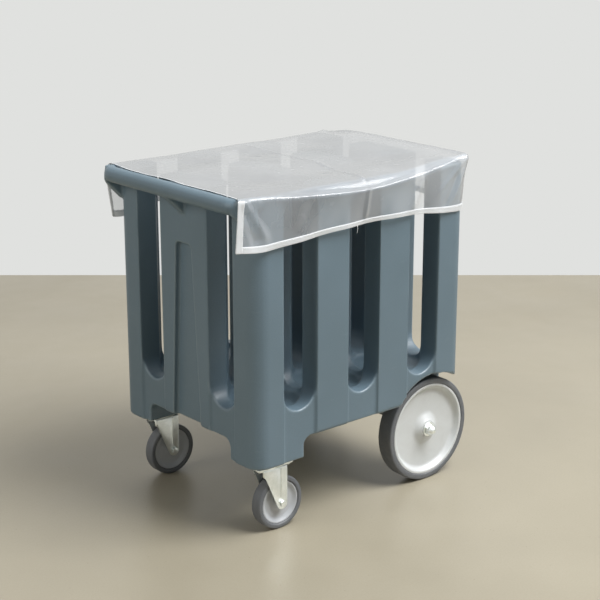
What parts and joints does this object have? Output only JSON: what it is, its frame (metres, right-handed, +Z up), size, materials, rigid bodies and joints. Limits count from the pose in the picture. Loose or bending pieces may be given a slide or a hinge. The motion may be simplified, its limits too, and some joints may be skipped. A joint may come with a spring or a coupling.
{
  "type": "dish caddy",
  "caption": "Moulded plastic dish caddy on swivel casters and large rear wheels, with open plate columns, a handle bar and a clear vinyl cover.",
  "frame": {"origin": "middle of the object's footprint, on the floor", "axes": "+X from the handle end towards the rear wheels, +Y to the left of a person at the handle, +Z up"},
  "size_m": [0.7206, 0.5216, 0.776],
  "materials": {
    "body": "moulded polyethylene, lightly textured, slate blue",
    "cover": "clear to milky soft vinyl sheet",
    "binding": "white woven tape folded over the edge and sewn",
    "tyre": "non-marking dark grey rubber",
    "wheel": "off-white moulded plastic",
    "zinc": "zinc-plated pressed steel",
    "steel": "plain bright steel",
    "nylon": "natural nylon"
  },
  "bodies": {
    "chassis": {"body": "body", "caster_right_top_plate": "zinc", "caster_right_plate_bolt_1": "zinc", "caster_right_plate_bolt_2": "zinc", "caster_right_plate_bolt_3": "zinc", "caster_right_plate_bolt_4": "zinc", "caster_right_swivel_race": "zinc", "caster_right_kingpin": "zinc", "axle_hanger_right": "steel", "hanger_bolt_right_1": "zinc", "hanger_bolt_right_2": "zinc", "rear_right_spacer": "zinc", "rear_right_washer": "zinc", "rear_right_cap_nut": "zinc", "caster_left_top_plate": "zinc", "caster_left_plate_bolt_1": "zinc", "caster_left_plate_bolt_2": "zinc", "caster_left_plate_bolt_3": "zinc", "caster_left_plate_bolt_4": "zinc", "caster_left_swivel_race": "zinc", "caster_left_kingpin": "zinc", "axle_hanger_left": "steel", "hanger_bolt_left_1": "zinc", "hanger_bolt_left_2": "zinc", "rear_left_spacer": "zinc", "rear_left_washer": "zinc", "rear_left_cap_nut": "zinc", "rear_axle": "steel"},
    "caster_fork_right": {"caster_right_fork": "zinc", "caster_right_axle_bolt": "zinc", "caster_right_axle_nut": "zinc", "caster_right_sleeve": "steel"},
    "caster_wheel_right": {"caster_right_tyre": "tyre", "caster_right_wheel_core": "wheel"},
    "rear_wheel_right": {"rear_right_tyre": "tyre", "rear_right_wheel_core": "wheel", "rear_right_outer_bush": "nylon", "rear_right_inner_bush": "nylon"},
    "caster_fork_left": {"caster_left_fork": "zinc", "caster_left_axle_bolt": "zinc", "caster_left_axle_nut": "zinc", "caster_left_sleeve": "steel"},
    "caster_wheel_left": {"caster_left_tyre": "tyre", "caster_left_wheel_core": "wheel"},
    "rear_wheel_left": {"rear_left_tyre": "tyre", "rear_left_wheel_core": "wheel", "rear_left_outer_bush": "nylon", "rear_left_inner_bush": "nylon"},
    "cover": {"vinyl_cover": "cover", "cover_binding": "binding"}
  },
  "joints": [
    {"name": "caster_swivel_right", "type": "hinge", "parent": "chassis", "child": "caster_fork_right", "pos_m": [-0.24526, -0.204, 0.155], "axis": [0, 0, 1], "continuous": true},
    {"name": "caster_roll_right", "type": "hinge", "parent": "caster_fork_right", "child": "caster_wheel_right", "pos_m": [-0.21326, -0.204, 0.06197], "axis": [0, 1, 0], "continuous": true},
    {"name": "rear_roll_right", "type": "hinge", "parent": "chassis", "child": "rear_wheel_right", "pos_m": [0.23374, -0.211, 0.12652], "axis": [0, 1, 0], "continuous": true},
    {"name": "caster_swivel_left", "type": "hinge", "parent": "chassis", "child": "caster_fork_left", "pos_m": [-0.24526, 0.204, 0.155], "axis": [0, 0, 1], "continuous": true},
    {"name": "caster_roll_left", "type": "hinge", "parent": "caster_fork_left", "child": "caster_wheel_left", "pos_m": [-0.21326, 0.204, 0.06197], "axis": [0, 1, 0], "continuous": true},
    {"name": "rear_roll_left", "type": "hinge", "parent": "chassis", "child": "rear_wheel_left", "pos_m": [0.23374, 0.211, 0.12652], "axis": [0, 1, 0], "continuous": true},
    {"name": "cover_lift", "type": "slide", "parent": "chassis", "child": "cover", "axis": [0, 0, 1], "range_m": [0, 0.15]}
  ]
}
